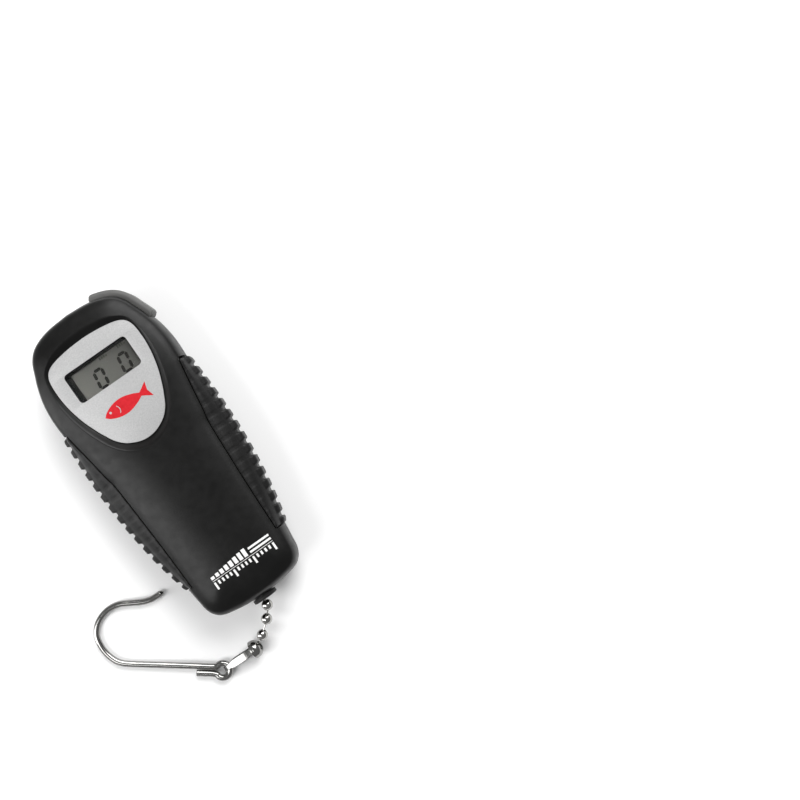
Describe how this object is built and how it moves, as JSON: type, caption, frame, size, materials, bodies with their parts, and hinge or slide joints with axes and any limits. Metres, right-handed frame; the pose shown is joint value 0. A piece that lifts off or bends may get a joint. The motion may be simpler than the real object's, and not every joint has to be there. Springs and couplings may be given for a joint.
{
  "type": "digital fish scale",
  "caption": "Handheld digital scale with a display window, ribbed side grips, a corner power button and a ball chain that ends in a wire hook.",
  "frame": {"origin": "middle of the flat back, on the plane that the scale lies on", "axes": "+Z out of the display face, +Y to the top of the body, away from the chain, +X to the reader's right"},
  "size_m": [0.085, 0.1329, 0.0233],
  "materials": {
    "black_plastic": "satin black with a fine grain",
    "black_rubber": "matt black",
    "grey_rubber": "satin grey",
    "silver_label": "fine-grained silver",
    "clear_plastic": "clear and glossy",
    "lcd_glass": "grey-green liquid crystal panel",
    "white_plastic": "white",
    "pink_rubber": "layered elastomer",
    "green_board": "green solder mask",
    "black_epoxy": "glossy black",
    "alloy": "machined",
    "steel": "bright polished steel",
    "brass": "plain",
    "cell_jacket": "blue printed jacket with no lettering, over a cell about as dense as aluminium",
    "red_wire": "insulation",
    "black_wire": "insulation",
    "white_sealant": "soft sealant"
  },
  "bodies": {
    "housing": {"battery_1": "cell_jacket", "battery_2": "cell_jacket", "battery_lead_black": "black_wire", "battery_lead_red": "red_wire", "battery_link_contact": "steel", "battery_spring_1": "steel", "battery_spring_2": "steel", "board_screw_1": "steel", "board_screw_2": "steel", "chain_anchor": "steel", "chain_ball_0": "steel", "chain_ball_1": "steel", "chain_grommet": "black_rubber", "chain_link_0": "steel", "circuit_board": "green_board", "contact_strip": "pink_rubber", "controller_chip": "black_epoxy", "display_window": "clear_plastic", "front_shell": "black_plastic", "gauge_sealant": "white_sealant", "housing_screw_1": "steel", "housing_screw_2": "steel", "housing_screw_3": "steel", "housing_screw_4": "steel", "label_plate": "silver_label", "lcd_frame": "white_plastic", "lcd_panel": "lcd_glass", "load_cell": "alloy", "load_cell_lead": "white_plastic", "load_cell_screw_1": "steel", "load_cell_screw_2": "steel", "negative_contact": "steel", "positive_contact": "steel", "power_switch": "black_epoxy", "rear_shell": "black_plastic", "side_grip_left": "black_rubber", "side_grip_right": "black_rubber"},
    "button": {"power_button": "grey_rubber", "switch_plunger": "brass"},
    "battery_door": {"battery_door": "black_plastic"},
    "chain_link_1": {"chain_link_1": "steel"},
    "chain_ball_2": {"chain_ball_2": "steel"},
    "chain_link_2": {"chain_link_2": "steel"},
    "chain_ball_3": {"chain_ball_3": "steel"},
    "chain_link_3": {"chain_link_3": "steel"},
    "chain_ball_4": {"chain_ball_4": "steel"},
    "chain_link_4": {"chain_link_4": "steel"},
    "chain_ball_5": {"chain_ball_5": "steel"},
    "connector": {"connector_bell": "steel", "connector_strip": "steel"},
    "hook": {"fish_hook": "steel"}
  },
  "joints": [
    {"name": "button_press", "type": "slide", "parent": "housing", "child": "button", "axis": [-0.8412, -0.5408, 0], "range_m": [0, 0.0006], "stiffness_N_per_m": 2500},
    {"name": "battery_door_slide", "type": "slide", "parent": "housing", "child": "battery_door", "axis": [0, 1, 0], "range_m": [0, 0.05]},
    {"name": "chain_link_1_turn", "type": "hinge", "parent": "housing", "child": "chain_link_1", "pos_m": [0, -0.05638, 0.01175], "axis": [0, 0, 1], "range_deg": [-8, 40]},
    {"name": "chain_ball_2_tilt", "type": "hinge", "parent": "chain_link_1", "child": "chain_ball_2", "pos_m": [-0.0012, -0.0603, 0.01057], "axis": [-0.9563, 0.2924, 0], "range_deg": [-10, 40]},
    {"name": "chain_link_2_turn", "type": "hinge", "parent": "chain_ball_2", "child": "chain_link_2", "pos_m": [-0.00165, -0.06179, 0.0096], "axis": [0, 0, -1], "range_deg": [-50, 3]},
    {"name": "chain_ball_3_tilt", "type": "hinge", "parent": "chain_link_2", "child": "chain_ball_3", "pos_m": [-0.00416, -0.06439, 0.00734], "axis": [0.7193, -0.6947, 0], "range_deg": [-6, 44]},
    {"name": "chain_link_3_turn", "type": "hinge", "parent": "chain_ball_3", "child": "chain_link_3", "pos_m": [-0.00541, -0.06569, 0.00696], "axis": [0, 0, 1], "range_deg": [-16, 32]},
    {"name": "chain_ball_4_tilt", "type": "hinge", "parent": "chain_link_3", "child": "chain_ball_4", "pos_m": [-0.0087, -0.06825, 0.00607], "axis": [-0.6157, 0.788, 0], "range_deg": [-14, 34]},
    {"name": "chain_link_4_turn", "type": "hinge", "parent": "chain_ball_4", "child": "chain_link_4", "pos_m": [-0.01004, -0.0693, 0.00538], "axis": [0, 0, -1], "range_deg": [-36, 12]},
    {"name": "chain_ball_5_tilt", "type": "hinge", "parent": "chain_link_4", "child": "chain_ball_5", "pos_m": [-0.01359, -0.07103, 0.00379], "axis": [0.4384, -0.8988, 0], "range_deg": [-12, 24]},
    {"name": "connector_swivel", "type": "hinge", "parent": "chain_ball_5", "child": "connector", "pos_m": [-0.01441, -0.07143, 0.00366], "axis": [0.9847, 0, 0.1742], "continuous": true},
    {"name": "hook_swing", "type": "hinge", "parent": "connector", "child": "hook", "pos_m": [-0.02801, -0.07143, 0.00168], "axis": [0, 0, 1], "range_deg": [-8, 80]}
  ]
}
